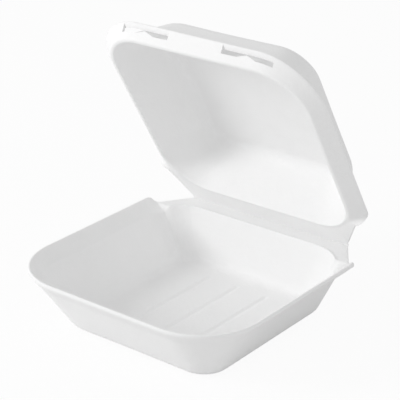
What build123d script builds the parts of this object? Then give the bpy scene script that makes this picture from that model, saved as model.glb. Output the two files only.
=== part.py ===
"""Foam clamshell container: one moulded foam sheet, a tray and a lid joined by a pressed hinge.

Millimetres, +Z up. The origin is the middle of the tray's flat bottom, the opening faces -Y
and the hinge runs along X behind it. The lid is drawn closed and then swung open.
"""
from build123d import *

import os
from math import atan2, cos

os.makedirs("parts", exist_ok=True)

# Foam sheet
wall = 2.6
rim_sheet = 1.9

# Tray: flat bottom, sloping walls, valley, flared rim
bottom_width = 103.2
bottom_depth = 108.8
bottom_corner = 13.6
wall_run_side = 17.3
wall_run_front = 20.0
wall_run_back = 6.0
valley_height = 31.0
valley_corner = 28.0
rim_rise = 7.0
rim_reach_side = 6.1
rim_reach_front = 5.0
rim_corner = 37.0
rim_end_round = 7.0
floor_round = 6.0

# Floor grooves
groove_count = 3
groove_pitch = 20.8
groove_width = 3.2
groove_depth = 0.6
groove_length = 82.0

# Hinge
hinge_length = 114.0
back_flange = 8.0
flange_drop = 3.0
hinge_gap = 0.4
open_angle = 59.0
corner_run = 21.0
corner_width = 138.0
corner_round = 9.0

# Lid: fold line, walls, top panel, turned-out lip
fold_inset_side = 8.5
fold_inset_front = 7.5
fold_corner = 28.0
fold_land = 0.6
fold_to_hinge = 12.4
lid_height = 33.3
panel_width = 103.0
panel_depth = 103.0
panel_behind = 22.1
panel_corner = 19.0
panel_round = 6.0
lip_rise_side = 5.8
lip_rise_front = 9.1
lip_reach_front = 6.5
lip_end_gap = 3.5
lip_end_round = 7.0

# Closure slots in the front lip, each with a tooth on its lower edge
slot_start = 18.0
slot_length = 32.5
slot_foot = 0.4
slot_rise = 6.2
tooth_width = 12.0
tooth_rise = 3.9

# Tray places
half_bottom = bottom_width / 2
bottom_front = -bottom_depth / 2
bottom_back = bottom_depth / 2
rim_height = valley_height + rim_rise
rim_half = half_bottom + wall_run_side + rim_reach_side
rim_front = bottom_front - wall_run_front - rim_reach_front
flange_top = rim_height - flange_drop
hinge_y = bottom_back + wall_run_back + back_flange
hinge_z = flange_top + hinge_gap / 2
wall_skew = wall / cos(atan2(wall_run_side, valley_height))
rim_edge = rim_sheet / 2
valley_half = half_bottom + wall_run_side
valley_front = bottom_front - wall_run_front
rim_end = hinge_y - hinge_gap - corner_run

# Lid places, with the lid closed
fold_z = flange_top + hinge_gap
fold_half = rim_half - fold_inset_side
fold_front = rim_front + fold_inset_front
fold_back = hinge_y - fold_to_hinge
panel_z = fold_z + lid_height
panel_half = panel_width / 2
panel_back = hinge_y - panel_behind
panel_front = panel_back - panel_depth
lip_skew = rim_sheet / cos(atan2(lip_rise_side, fold_inset_side))
lip_front = fold_front - lip_reach_front
lip_end = rim_end - lip_end_gap
behind = hinge_y + rim_half


def outline(height, half_width, front, back, corner):
    """A level rounded rectangle between two Y values."""
    with BuildSketch(Plane.XY.offset(height)) as profile:
        with Locations((0, (front + back) / 2)):
            RectangleRounded(2 * half_width, back - front, corner)
    return profile.sketch


def tray_outline(height, inset):
    """The tray wall's outline at a height, drawn in by an inset."""
    climb = height / valley_height
    return outline(
        height,
        half_bottom + wall_run_side * climb - inset,
        bottom_front - wall_run_front * climb + inset,
        bottom_back + wall_run_back * climb - inset,
        bottom_corner + (valley_corner - bottom_corner) * climb - inset,
    )


def lid_outline(height, inset):
    """The closed lid wall's outline at a height, drawn in by an inset."""
    climb = (height - fold_z) / lid_height
    return outline(
        height,
        fold_half + wall_skew + (panel_half - fold_half - wall_skew) * climb - inset,
        fold_front - wall_skew + (panel_front - fold_front + wall_skew) * climb + inset,
        fold_back + wall_skew + (panel_back - fold_back - wall_skew) * climb - inset,
        fold_corner + wall_skew + (panel_corner - fold_corner - wall_skew) * climb - inset,
    )


def lip_outline(height):
    """The under surface of the closed lid's lip at a height, level all round."""
    climb = height - fold_z
    reach_side = fold_inset_side * climb / lip_rise_side
    reach_front = lip_reach_front * climb / lip_rise_front
    return outline(
        height, fold_half + reach_side, fold_front - reach_front, behind, fold_corner + reach_front
    )


def hinge_flange(base, thickness):
    """The flat strip that carries half of the hinge, cut off at the rear corners."""
    half_hinge = hinge_length / 2
    half_corner = corner_width / 2
    edge = hinge_y - hinge_gap
    start = edge - corner_run
    with BuildPart() as flange:
        with BuildSketch(Plane.XY.offset(base)) as profile:
            with BuildLine():
                Polyline(
                    (-half_hinge, edge),
                    (half_hinge, edge),
                    (half_corner, start),
                    (half_corner, start - corner_run),
                    (-half_corner, start - corner_run),
                    (-half_corner, start),
                    close=True,
                )
            make_face()
            fillet(profile.vertices().group_by(Axis.Y)[1], corner_round)
        extrude(amount=thickness)
    return flange.part


def band_block(front, end, corner, end_round, base, top):
    """The upright block that a flared band is kept inside, round at its rear ends."""
    with BuildPart() as block:
        with BuildSketch(Plane.XY.offset(base)) as profile:
            with Locations((0, (front + end) / 2)):
                Rectangle(2 * rim_half, end - front)
            fillet(profile.vertices().group_by(Axis.Y)[0], corner)
            fillet(profile.vertices().group_by(Axis.Y)[-1], end_round)
        extrude(amount=top - base)
    return block.part


# Tray rim: the flared band, and the space above it
with BuildPart() as rim_band:
    loft(
        [
            outline(valley_height - rim_sheet, valley_half, valley_front, behind, valley_corner),
            outline(rim_height - rim_sheet, rim_half, rim_front, behind, rim_corner),
            outline(rim_height, rim_half, rim_front, behind, rim_corner),
        ],
        ruled=True,
    )
    add(
        band_block(rim_front, rim_end, rim_corner, rim_end_round, 0, rim_height),
        mode=Mode.INTERSECT,
    )

with BuildPart() as rim_space:
    loft(
        [
            outline(
                valley_height,
                valley_half - wall_skew,
                valley_front + wall_skew,
                behind,
                valley_corner - wall_skew,
            ),
            outline(
                rim_height,
                rim_half - rim_edge,
                rim_front + rim_edge,
                behind,
                rim_corner - rim_edge,
            ),
        ],
        ruled=True,
    )
    add(
        band_block(rim_front, rim_end, rim_corner, rim_end_round, 0, rim_height),
        mode=Mode.INTERSECT,
    )

# Tray
with BuildPart() as tray_space:
    loft([tray_outline(wall, wall_skew), tray_outline(flange_top, wall_skew)], ruled=True)
    fillet(tray_space.faces().sort_by(Axis.Z)[0].edges(), floor_round)

with BuildPart() as base_tray:
    loft([tray_outline(0, 0), tray_outline(flange_top, 0)], ruled=True)
    add(rim_band.part)
    add(hinge_flange(flange_top - rim_sheet, rim_sheet))
    add(tray_space.part, mode=Mode.SUBTRACT)
    add(rim_space.part, mode=Mode.SUBTRACT)
    with BuildSketch(Plane.XY.offset(wall)):
        with GridLocations(groove_pitch, 0, groove_count, 1):
            SlotOverall(groove_length, groove_width, rotation=90)
    extrude(amount=-groove_depth, mode=Mode.SUBTRACT)

# Lid, closed
with BuildPart() as lid_space:
    inside = wall_skew + fold_land
    loft([lid_outline(fold_z, inside), lid_outline(panel_z - wall, inside)], ruled=True)
    fillet(lid_space.faces().sort_by(Axis.Z)[-1].edges(), panel_round)

with BuildPart() as lip:
    loft([lip_outline(fold_z), lip_outline(fold_z + lip_rise_front)], ruled=True)
    loft(
        [
            lip_outline(fold_z).moved(Location((0, 0, lip_skew))),
            lip_outline(fold_z + lip_rise_front).moved(Location((0, 0, lip_skew))),
        ],
        ruled=True,
        mode=Mode.SUBTRACT,
    )
    add(
        band_block(lip_front, lip_end, rim_corner, lip_end_round, fold_z, panel_z),
        mode=Mode.INTERSECT,
    )

slot_z = fold_z + slot_foot
tooth_x = slot_start + slot_length / 2
with BuildPart() as closed_lid:
    loft([lid_outline(fold_z, 0), lid_outline(panel_z, 0)], ruled=True)
    loft([lip_outline(fold_z), lip_outline(panel_z)], ruled=True, mode=Mode.INTERSECT)
    add(lip.part)
    add(hinge_flange(fold_z, rim_sheet))
    add(lid_space.part, mode=Mode.SUBTRACT)
    with BuildSketch(Plane.XZ.offset(-fold_front + slot_foot)) as slots:
        with BuildLine():
            Polyline(
                (slot_start, slot_z),
                (tooth_x - tooth_width / 2, slot_z),
                (tooth_x, slot_z + tooth_rise),
                (tooth_x + tooth_width / 2, slot_z),
                (slot_start + slot_length, slot_z),
                (slot_start + slot_length, slot_z + slot_rise),
                (slot_start, slot_z + slot_rise),
                close=True,
            )
        make_face()
        mirror(about=Plane.YZ)
    extrude(amount=2 * lip_reach_front, mode=Mode.SUBTRACT)

# Lid, swung open
hinge_axis = Axis((0, hinge_y, hinge_z), (-1, 0, 0))
with BuildPart() as lid:
    add(closed_lid.part.rotate(hinge_axis, open_angle))

base_tray.part.label = "base_tray"
export_step(base_tray.part, "parts/base_tray.step")
lid.part.label = "lid"
export_step(lid.part, "parts/lid.step")
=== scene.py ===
"""Foam clamshell container: a tray and a lid pressed from foam sheet, joined by a thin crease.

Sizes and places are in millimetres until a mesh is finished. The lid is pressed closed over the
tray and then swung open on the crease.
"""
from math import cos, pi, radians, sin, tan

import bmesh
import bpy
from mathutils import Matrix, Vector


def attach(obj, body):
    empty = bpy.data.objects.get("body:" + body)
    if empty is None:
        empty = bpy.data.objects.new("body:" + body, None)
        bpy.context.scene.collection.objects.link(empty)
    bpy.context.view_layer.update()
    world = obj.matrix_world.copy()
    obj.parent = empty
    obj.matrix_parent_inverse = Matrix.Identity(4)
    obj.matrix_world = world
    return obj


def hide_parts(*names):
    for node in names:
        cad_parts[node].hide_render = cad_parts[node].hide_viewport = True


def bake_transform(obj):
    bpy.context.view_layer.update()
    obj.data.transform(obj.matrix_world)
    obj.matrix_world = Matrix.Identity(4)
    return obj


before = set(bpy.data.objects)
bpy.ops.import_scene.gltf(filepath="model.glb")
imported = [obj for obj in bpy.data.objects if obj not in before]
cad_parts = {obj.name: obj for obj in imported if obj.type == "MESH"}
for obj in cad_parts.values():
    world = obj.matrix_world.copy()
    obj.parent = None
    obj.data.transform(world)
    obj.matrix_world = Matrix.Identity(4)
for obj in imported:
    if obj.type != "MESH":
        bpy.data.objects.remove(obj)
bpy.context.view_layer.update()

mm = 0.001

# Crease that the lid swings on
pivot = Vector((0, 68.4, 35.2))
open_angle = 59
hinge_half = 57.0

# Points round half an outline: front, front corner to side, rear corner, hinge end, hinge
leg_points = (34, 62, 16, 16, 26)
arc_points = 18

# Corners passed along an outline where its side and its hinge end begin
side_turn = 0.9
hinge_turn = 3

# Flat floors: rows of faces, and how much of the depth their middle line takes
floor_rows = 9
floor_line_share = 0.6

# The most of a run that the round at one of its ends takes
round_share = 0.48

# Steps at the rear ends of the tray's rim and of the lid's lip
tray_step = (46.8, 49.6)
lid_step = (41.0, 44.9)

# Grooves pressed into the tray's floor: the middle one and those each side of it, with the lines
# scored along each end's fade and across each half width
groove_places = (0, 20.8)
groove_half_width = 2.3
groove_depth = 0.55
groove_half_length = 41.0
groove_fade = 3.0
groove_rows = 3
groove_columns = 4

# Closure slots in the lid's front lip, each with a tooth. On the lip's upper face they start
# slot_foot above the valley and everything above that is lip_step higher.
slot_start = 18.0
slot_end = 50.5
slot_low = 35.8
slot_high = 42.0
tooth_half_width = 6.0
tooth_tip = 39.7
slot_foot = 0.4
lip_step = 1.1

# Where the lip's faces are looked for: past the slot's end, between two heights, ahead of a line
lip_margin = 6.0
lip_heights = (35.6, 46.0)
lip_back = -55.0

# Thin film along the crease: its arc in degrees round the pivot, how far it stops short of the
# crease's ends, and how far from the pivot its bending reaches
film_radius = 0.75
film_thickness = 0.5
film_start = 205
film_end = 456
film_steps = 20
film_inset = 0.6

# Foam finish
foam_colour = (0.92, 0.92, 0.92, 1)
bead_scale = 700
bead_bump = 0.35
bead_depth = 0.0003
patch_scale = 55
patch_strength = 0.03

# Studio
floor_half = 3
floor_colour = (0.92, 0.92, 0.92, 1)
floor_glow = 0.92
soft_light = 0.62


# Pressed sheets

def rounded_corner(before, corner, after, radius):
    """Points along the arc that rounds a corner of an outline."""
    inward = (before - corner).normalized()
    onward = (after - corner).normalized()
    opening = inward.angle(onward)
    if opening > radians(179):
        return [corner.copy() for _ in range(arc_points + 1)]
    reach = radius / tan(opening / 2)
    middle = corner + (inward + onward).normalized() * radius / sin(opening / 2)
    start = (corner + inward * reach - middle).normalized()
    end = (corner + onward * reach - middle).normalized()
    return [middle + start.slerp(end, i / arc_points) * radius for i in range(arc_points + 1)]


def spaced(path, count):
    """The path's first end and count - 1 more points, at equal distances along it."""
    lengths = [(b.xy - a.xy).length for a, b in zip(path, path[1:])]
    places = []
    at = 0
    passed = 0
    for i in range(count):
        wanted = sum(lengths) * i / count
        while passed + lengths[at] < wanted:
            passed += lengths[at]
            at += 1
        share = (wanted - passed) / lengths[at] if lengths[at] else 0
        places.append(path[at].lerp(path[at + 1], share))
    return places


def smooth(share):
    """A share from 0 to 1 that starts and ends gently."""
    share = max(0, min(1, share))
    return share * share * (3 - 2 * share)


def outline(half, front, back, corner, heights, rear=None, step=tray_step):
    """Half a ring of the pressed sheet, from its front middle to its back middle.

    heights are at the front, the side, the rear corner and the hinge. rear gives the rear
    corner's three points and their rounds; without it, it is round like the front one. The side
    turns into the rear corner between the two places in step.
    """
    front_height, side_height, rear_height, hinge_height = heights
    if rear is None:
        tangent = corner * tan(pi / 8)
        rear = (
            (half, back - corner + tangent, corner),
            (half - corner * (1 - cos(pi / 4)), back - corner * (1 - cos(pi / 4)), 0),
            (half - corner + tangent, back, corner),
        )
    points = [Vector((0, front)), Vector((half, front))]
    points += [Vector((x, y)) for x, y, _ in rear] + [Vector((0, back))]
    rounds = [corner] + [radius for _, _, radius in rear]
    legs = [[(points[0], 0)]]
    for i, radius in enumerate(rounds):
        arc = rounded_corner(*points[i : i + 3], radius)
        arc = [(place, i + n / arc_points) for n, place in enumerate(arc)]
        middle = arc_points // 2
        legs[-1] += arc[: middle + 1]
        legs.append(arc[middle:])
    legs[-1].append((points[-1], len(rounds)))
    ring = []
    for leg, count in zip(legs, leg_points):
        ring += spaced([Vector((*place, turned)) for place, turned in leg], count)
    ring.append(Vector((*points[-1], len(rounds))))
    for place in ring:
        turned = place.z
        place.z = front_height + (side_height - front_height) * smooth(turned)
        passed = smooth((place.y - step[0]) / (step[1] - step[0])) if turned > side_turn else 0
        place.z += (rear_height - side_height) * passed
        place.z += (hinge_height - rear_height) * smooth(turned - hinge_turn)
    return ring


def mixed(ring, other, share):
    """The ring that lies part of the way between two others."""
    return [a.lerp(b, share) for a, b in zip(ring, other)]


def shifted(ring, other, distance):
    """The ring that lies a distance from one towards another, always short of half way."""
    return [
        a + (b - a) * min(round_share, distance / (b - a).length) for a, b in zip(ring, other)
    ]


def section(stations):
    """Every ring of a sheet.

    Each station is a ring, the size of its round, the round's steps and the steps after it.
    """
    rings = []
    for i, (ring, size, steps, run) in enumerate(stations):
        before = stations[max(i - 1, 0)][0]
        after = stations[min(i + 1, len(stations) - 1)][0]
        start = shifted(ring, before, size) if i > 0 else shifted(ring, floor_line(ring), size)
        last = i == len(stations) - 1
        end = shifted(ring, floor_line(ring) if last else after, size)
        for step in range(steps + 1):
            share = step / steps
            rings.append(mixed(mixed(start, ring, share), mixed(ring, end, share), share))
        if not last:
            following = shifted(after, ring, stations[i + 1][1])
            rings += [mixed(end, following, step / run) for step in range(1, run)]
    first = floor_line(rings[0])
    final = floor_line(rings[-1])
    rings = [mixed(first, rings[0], i / floor_rows) for i in range(floor_rows)] + rings
    return rings + [mixed(rings[-1], final, (i + 1) / floor_rows) for i in range(floor_rows)]


def floor_line(ring):
    """The line along the middle of a flat floor that a ring's points close on to."""
    front = ring[0].y * floor_line_share
    back = ring[-1].y * floor_line_share
    last = len(ring) - 1
    return [Vector((0, front + (back - front) * i / last, ring[0].z)) for i in range(last + 1)]


def pressed_half(stations):
    """The right half of a pressed sheet, both its faces in one skin."""
    rings = section(stations)
    rows = len(rings) - 1
    columns = len(rings[0]) - 1
    bm = bmesh.new()
    bmesh.ops.create_grid(bm, x_segments=rows, y_segments=columns, size=0.5)
    for vert in bm.verts:
        row = round((vert.co.x + 0.5) * rows)
        column = round((vert.co.y + 0.5) * columns)
        vert.co = rings[row][column]
    bm.normal_update()
    return bm


def score(bm, chosen, point, normal):
    """Adds an edge where a plane crosses the chosen faces."""
    faces = [face for face in bm.faces if chosen(face)]
    edges = list(dict.fromkeys(edge for face in faces for edge in face.edges))
    verts = list(dict.fromkeys(vert for face in faces for vert in face.verts))
    bmesh.ops.bisect_plane(
        bm, geom=verts + edges + faces, dist=0.001, plane_co=point, plane_no=normal
    )


def whole(bm):
    """Mirrors the right half on to the left and turns every face outwards."""
    everything = bm.verts[:] + bm.edges[:] + bm.faces[:]
    bmesh.ops.mirror(bm, geom=everything, axis="X", merge_dist=0.002)
    bmesh.ops.recalc_face_normals(bm, faces=bm.faces)


def finished(bm, name, sharp=50):
    """Makes the piece from its mesh, in metres, smooth but for its sharp edges."""
    bmesh.ops.scale(bm, vec=(mm, mm, mm), verts=bm.verts)
    for face in bm.faces:
        face.smooth = True
    mesh = bpy.data.meshes.new(name)
    bm.to_mesh(mesh)
    bm.free()
    mesh.set_sharp_from_angle(angle=radians(sharp))
    piece = bpy.data.objects.new(name, mesh)
    bpy.context.scene.collection.objects.link(piece)
    return piece


# Tray: floor, sloping walls, a shallow valley and a flared rim

tray_floor_inside = outline(50.1, -53.1, 51.9, 11.8, (2.6,) * 4)
tray_wall_inside = outline(65.9, -71.4, 58.2, 25.0, (31, 31, 35.3, 35.3))
tray_edge = outline(67.9, -73.2, 60.0, 27.4, (32.7, 32.7, 34.6, 34.6))
tray_rim_top = outline(
    74.0, -78.4, 67.8, 36.0, (38, 38, 35, 35),
    ((74.0, 48.3, 5.0), (68.6, 49.6, 1.5), (56.5, 67.8, 2)),
)
tray_rim_outside = outline(
    75.0, -79.4, 67.8, 37.0, (37.7, 37.7, 34.8, 34.9),
    ((75.0, 48.9, 5.2), (69.0, 50.1, 1.5), (57.0, 67.8, 2)),
)
tray_rim_under = outline(
    75.0, -79.4, 67.8, 37.0, (36.0, 36.0, 33.1, 34.5),
    ((75.0, 48.9, 5.2), (69.0, 50.1, 1.5), (57.0, 67.8, 2)),
)
tray_band_under = outline(
    72.0, -76.9, 65.4, 32.5, (32.9, 32.9, 33.1, 33.1),
    ((72.0, 46.7, 3.5), (67.2, 48.6, 1.5), (55.0, 65.4, 2)),
)
tray_wall_outside = outline(68.1, -73.6, 60.8, 27.5, (29.4, 29.4, 33.1, 33.1))
tray_bottom = outline(51.6, -54.4, 54.4, 13.6, (0,) * 4)
tray_stations = [
    (tray_floor_inside, 7.0, 8, 10),
    (tray_wall_inside, 0.7, 4, 1),
    (tray_edge, 0.7, 2, 4),
    (tray_rim_top, 0.5, 3, 1),
    (tray_rim_outside, 0.5, 3, 1),
    (tray_rim_under, 0.6, 3, 3),
    (tray_band_under, 1.5, 2, 3),
    (tray_wall_outside, 1.2, 3, 8),
    (tray_bottom, 5.0, 7, 1),
]


def groove_depth_at(place):
    """How far the floor is pressed down at a place inside a groove."""
    aside = min(abs(abs(place.x) - x) for x in groove_places)
    across = max(0, 1 - aside / groove_half_width)
    along = max(0, min(1, (groove_half_length - abs(place.y)) / groove_fade))
    return groove_depth * sin(across * pi / 2) ** 2 * sin(along * pi / 2) ** 2


def press_grooves(bm):
    """Presses the grooves into the inside of the floor."""
    level = tray_floor_inside[0].z

    def on_floor(face):
        flat = all(abs(vert.co.z - level) < 0.001 for vert in face.verts)
        return flat and abs(face.calc_center_median().y) < groove_half_length + 2

    for i in range(groove_rows + 1):
        for side in (-1, 1):
            place = side * (groove_half_length - groove_fade * i / groove_rows)
            score(bm, on_floor, (0, place, 0), (0, 1, 0))
    for middle in groove_places:
        for i in range(-groove_columns, groove_columns + 1):
            place = middle + groove_half_width * i / groove_columns
            if place > 0.1:
                score(bm, on_floor, (place, 0, 0), (1, 0, 0))
    for vert in bm.verts:
        if abs(vert.co.z - level) < 0.001:
            vert.co.z -= groove_depth_at(vert.co)


tray_skin = pressed_half(tray_stations)
press_grooves(tray_skin)
whole(tray_skin)
tray_foam = finished(tray_skin, "tray_foam")


# Lid: top panel, sloping walls, a folded land and a turned-out lip with two slots

lid_panel_inside = outline(49.8, -55.0, 44.0, 16.4, (66.1,) * 4)
lid_land_inside = outline(65.1, -70.6, 55.4, 26.0, (35.4, 35.4, 35.2, 35.2), step=lid_step)
lid_land_outside = outline(67.2, -72.8, 57.4, 28.0, (35.4, 35.4, 35.8, 35.8), step=lid_step)
lid_lip_under = outline(
    75.0, -78.4, 67.8, 34.6, (43.9, 41.2, 35.6, 35.4),
    ((75.0, 42.0, 6), (67.8, 46.5, 3), (56.3, 67.8, 2)), lid_step,
)
lid_lip_top = outline(
    74.0, -77.1, 67.8, 33.5, (44.8, 42.7, 37.3, 35.9),
    ((74.0, 41.5, 5.5), (67.5, 46.2, 3), (56.3, 67.8, 2)), lid_step,
)
lid_band_top = outline(
    71.2, -75.2, 65.4, 31.2, (41.8, 40.9, 37.3, 37.3),
    ((71.2, 40.0, 4.5), (65.0, 45.0, 3), (54.5, 65.4, 2)), lid_step,
)
lid_valley = outline(67.8, -72.9, 58.3, 28.2, (38.7, 38.6, 37.3, 37.3), step=lid_step)
lid_panel = outline(51.5, -56.7, 46.3, 19.0, (68.7,) * 4)
lid_stations = [
    (lid_panel_inside, 7.0, 8, 10),
    (lid_land_inside, 0.8, 4, 1),
    (lid_land_outside, 0.8, 4, 6),
    (lid_lip_under, 0.7, 3, 1),
    (lid_lip_top, 0.7, 3, 3),
    (lid_band_top, 1.5, 2, 3),
    (lid_valley, 0.8, 3, 8),
    (lid_panel, 7.0, 8, 1),
]


def cut_slots(bm):
    """Cuts the right slot through both faces of the lip and walls it between them."""
    tooth_middle = (slot_start + slot_end) / 2
    for under in (True, False):
        low = slot_low if under else lid_valley[0].z + slot_foot
        high = slot_high if under else slot_high + lip_step
        tip = tooth_tip if under else tooth_tip + lip_step
        slope = (tip - low) / tooth_half_width

        def on_lip(face):
            middle = face.calc_center_median()
            facing = face.normal.y < -0.2 if under else face.normal.y > 0.2
            level = face.normal.z < -0.1 if under else face.normal.z > 0.1
            beside = 0 < middle.x < slot_end + lip_margin and middle.y < lip_back
            return beside and lip_heights[0] < middle.z < lip_heights[1] and facing and level

        def in_slot(face):
            middle = face.calc_center_median()
            inside = slot_start < middle.x < slot_end and low < middle.z < high
            tooth_top = tip - slope * abs(middle.x - tooth_middle)
            return inside and on_lip(face) and middle.z > tooth_top

        for place in (slot_start, slot_end, tooth_middle):
            score(bm, on_lip, (place, 0, 0), (1, 0, 0))
        for height in (low, high):
            score(bm, on_lip, (0, 0, height), (0, 0, 1))
        for side in (-1, 1):
            score(bm, on_lip, (tooth_middle, 0, tip), (side * slope, 0, 1))
        bmesh.ops.delete(bm, geom=[face for face in bm.faces if in_slot(face)], context="FACES")
    edges = [
        edge
        for edge in bm.edges
        if edge.is_boundary and all(vert.co.x > 1 for vert in edge.verts)
    ]
    bmesh.ops.bridge_loops(bm, edges=edges)


lid_skin = pressed_half(lid_stations)
cut_slots(lid_skin)
whole(lid_skin)
bmesh.ops.rotate(
    lid_skin,
    cent=pivot,
    matrix=Matrix.Rotation(radians(open_angle), 3, (-1, 0, 0)),
    verts=lid_skin.verts,
)
lid_foam = finished(lid_skin, "lid_foam")


# Crease: a thin film rolled round the pivot between the two flanges

def across_hinge(degrees):
    """The direction at an angle round the crease, from the back upwards."""
    return Vector((0, cos(radians(degrees)), sin(radians(degrees))))


crease_skin = bmesh.new()
film_half = hinge_half - film_inset
film_ends = [
    crease_skin.verts.new(
        pivot + across_hinge(film_start) * (film_radius + side * film_thickness / 2)
    )
    for side in (-1, 1)
]
bmesh.ops.translate(crease_skin, vec=(-film_half, 0, 0), verts=film_ends)
film_edge = crease_skin.edges.new(film_ends)
bmesh.ops.spin(
    crease_skin,
    geom=[*film_ends, film_edge],
    cent=pivot,
    axis=(1, 0, 0),
    angle=radians(film_end - film_start),
    steps=film_steps,
    use_merge=False,
)
far_end = bmesh.ops.extrude_face_region(crease_skin, geom=crease_skin.faces[:])
moved = [item for item in far_end["geom"] if isinstance(item, bmesh.types.BMVert)]
bmesh.ops.translate(crease_skin, vec=(2 * film_half, 0, 0), verts=moved)
bmesh.ops.recalc_face_normals(crease_skin, faces=crease_skin.faces)
hinge_crease = finished(crease_skin, "hinge_crease")


# Foam finish

def foam_beads():
    """Shared effect: the fine closed cells of the foam sheet and its faint cloudy patches."""
    group = bpy.data.node_groups.new("foam_beads", "ShaderNodeTree")
    sockets = group.interface
    for name in ("Bead Scale", "Patch Scale", "Patch Strength"):
        sockets.new_socket(name, in_out="INPUT", socket_type="NodeSocketFloat")
    sockets.new_socket("Foam Colour", in_out="INPUT", socket_type="NodeSocketColor")
    sockets.new_socket("Colour", in_out="OUTPUT", socket_type="NodeSocketColor")
    sockets.new_socket("Height", in_out="OUTPUT", socket_type="NodeSocketFloat")
    sockets.new_socket("Roughness", in_out="OUTPUT", socket_type="NodeSocketFloat")
    nodes = group.nodes
    links = group.links
    given = nodes.new("NodeGroupInput")
    out = nodes.new("NodeGroupOutput")
    place = nodes.new("ShaderNodeTexCoord")
    beads = nodes.new("ShaderNodeTexVoronoi")
    beads.feature = "SMOOTH_F1"
    patches = nodes.new("ShaderNodeTexNoise")
    patches.inputs["Detail"].default_value = 4
    links.new(place.outputs["Object"], beads.inputs["Vector"])
    links.new(place.outputs["Object"], patches.inputs["Vector"])
    links.new(given.outputs["Bead Scale"], beads.inputs["Scale"])
    links.new(given.outputs["Patch Scale"], patches.inputs["Scale"])

    shade = nodes.new("ShaderNodeMath")
    shade.operation = "MULTIPLY_ADD"
    shade.inputs[2].default_value = 1.0
    centred = nodes.new("ShaderNodeMath")
    centred.operation = "SUBTRACT"
    centred.inputs[1].default_value = 0.5
    links.new(patches.outputs["Fac"], centred.inputs[0])
    links.new(centred.outputs[0], shade.inputs[0])
    links.new(given.outputs["Patch Strength"], shade.inputs[1])
    tint = nodes.new("ShaderNodeVectorMath")
    tint.operation = "SCALE"
    links.new(given.outputs["Foam Colour"], tint.inputs[0])
    links.new(shade.outputs[0], tint.inputs["Scale"])
    links.new(tint.outputs[0], out.inputs["Colour"])

    height = nodes.new("ShaderNodeMath")
    height.operation = "MULTIPLY_ADD"
    height.inputs[1].default_value = -1.0
    links.new(beads.outputs["Distance"], height.inputs[0])
    links.new(patches.outputs["Fac"], height.inputs[2])
    links.new(height.outputs[0], out.inputs["Height"])

    gloss = nodes.new("ShaderNodeMapRange")
    gloss.inputs["From Min"].default_value = 0.0
    gloss.inputs["From Max"].default_value = 0.8
    gloss.inputs["To Min"].default_value = 0.48
    gloss.inputs["To Max"].default_value = 0.66
    links.new(beads.outputs["Distance"], gloss.inputs["Value"])
    links.new(gloss.outputs[0], out.inputs["Roughness"])
    return group


def foam_material():
    """White foam: a matte skin with its beads as colour, roughness and bump."""
    material = bpy.data.materials.new("white_foam")
    material.use_nodes = True
    nodes = material.node_tree.nodes
    links = material.node_tree.links
    skin = nodes["Principled BSDF"]
    skin.inputs["IOR"].default_value = 1.4
    effect = nodes.new("ShaderNodeGroup")
    effect.node_tree = foam_beads()
    effect.inputs["Foam Colour"].default_value = foam_colour
    effect.inputs["Bead Scale"].default_value = bead_scale
    effect.inputs["Patch Scale"].default_value = patch_scale
    effect.inputs["Patch Strength"].default_value = patch_strength
    dents = nodes.new("ShaderNodeBump")
    dents.inputs["Strength"].default_value = bead_bump
    dents.inputs["Distance"].default_value = bead_depth
    links.new(effect.outputs["Colour"], skin.inputs["Base Color"])
    links.new(effect.outputs["Roughness"], skin.inputs["Roughness"])
    links.new(effect.outputs["Height"], dents.inputs["Height"])
    links.new(dents.outputs["Normal"], skin.inputs["Normal"])
    return material


foam = foam_material()
for piece in (tray_foam, lid_foam, hinge_crease):
    piece.data.materials.append(foam)

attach(tray_foam, "tray")
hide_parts("base_tray")
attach(lid_foam, "lid")
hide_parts("lid")
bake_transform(hinge_crease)


# Floor, light and camera

def pale_floor():
    """The floor's finish: pale and matt, and nearly white where the camera sees it."""
    material = bpy.data.materials.new("pale_floor")
    material.use_nodes = True
    nodes = material.node_tree.nodes
    links = material.node_tree.links
    surface = nodes["Principled BSDF"]
    surface.inputs["Base Color"].default_value = floor_colour
    surface.inputs["Roughness"].default_value = 1.0
    surface.inputs["Specular IOR Level"].default_value = 0.0
    glow = nodes.new("ShaderNodeEmission")
    rays = nodes.new("ShaderNodeLightPath")
    part = nodes.new("ShaderNodeMath")
    part.operation = "MULTIPLY"
    part.inputs[1].default_value = floor_glow
    mix = nodes.new("ShaderNodeMixShader")
    links.new(rays.outputs["Is Camera Ray"], part.inputs[0])
    links.new(part.outputs[0], mix.inputs["Fac"])
    links.new(surface.outputs[0], mix.inputs[1])
    links.new(glow.outputs[0], mix.inputs[2])
    links.new(mix.outputs[0], nodes["Material Output"].inputs["Surface"])
    return material


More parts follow.
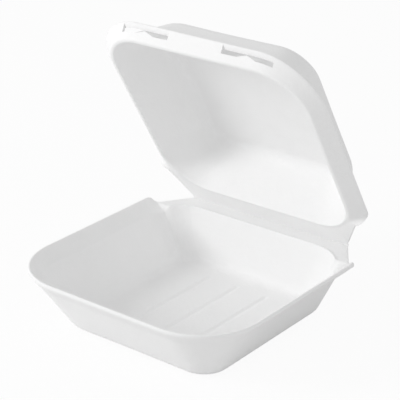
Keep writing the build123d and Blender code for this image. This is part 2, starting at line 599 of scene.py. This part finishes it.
def studio():
    """Even light from all round, seen as white by the camera and in gloss."""
    world = bpy.data.worlds.new("studio")
    bpy.context.scene.world = world
    world.use_nodes = True
    nodes = world.node_tree.nodes
    links = world.node_tree.links
    soft = nodes["Background"]
    soft.inputs["Color"].default_value = (1, 1, 1, 1)
    soft.inputs["Strength"].default_value = soft_light
    white = nodes.new("ShaderNodeBackground")
    white.inputs["Color"].default_value = (1, 1, 1, 1)
    white.inputs["Strength"].default_value = 1.0
    rays = nodes.new("ShaderNodeLightPath")
    either = nodes.new("ShaderNodeMath")
    either.operation = "MAXIMUM"
    mix = nodes.new("ShaderNodeMixShader")
    links.new(rays.outputs["Is Camera Ray"], either.inputs[0])
    links.new(rays.outputs["Is Glossy Ray"], either.inputs[1])
    links.new(either.outputs[0], mix.inputs["Fac"])
    links.new(soft.outputs[0], mix.inputs[1])
    links.new(white.outputs[0], mix.inputs[2])
    links.new(mix.outputs[0], nodes["World Output"].inputs["Surface"])


def lamp(name, place, target, size, power):
    """A square soft box that faces a target."""
    data = bpy.data.lights.new(name, "AREA")
    data.size = size
    data.energy = power
    light = bpy.data.objects.new(name, data)
    bpy.context.scene.collection.objects.link(light)
    light.location = place
    light.rotation_euler = (Vector(target) - Vector(place)).to_track_quat("-Z", "Y").to_euler()


floor_skin = bmesh.new()
bmesh.ops.create_grid(floor_skin, x_segments=1, y_segments=1, size=floor_half)
floor_mesh = bpy.data.meshes.new("floor")
floor_skin.to_mesh(floor_mesh)
floor_skin.free()
floor_mesh.materials.append(pale_floor())
floor = bpy.data.objects.new("floor", floor_mesh)
bpy.context.scene.collection.objects.link(floor)

studio()
lamp("key_front_left", (-0.85, -0.95, 0.62), (0, 0, 0.07), 0.45, 7.6)
lamp("fill_right", (0.9, -0.2, 0.35), (0, 0, 0.07), 0.4, 0.5)

camera_data = bpy.data.cameras.new("camera")
camera_data.lens = 134.5
camera_data.sensor_width = 36
camera_data.clip_start = 0.05
camera = bpy.data.objects.new("camera", camera_data)
bpy.context.scene.collection.objects.link(camera)
camera.location = (0.4698, -0.5922, 0.3989)
camera.rotation_euler = (radians(66.59), 0, radians(38.27))
bpy.context.scene.camera = camera
bpy.context.scene.view_settings.view_transform = "Standard"
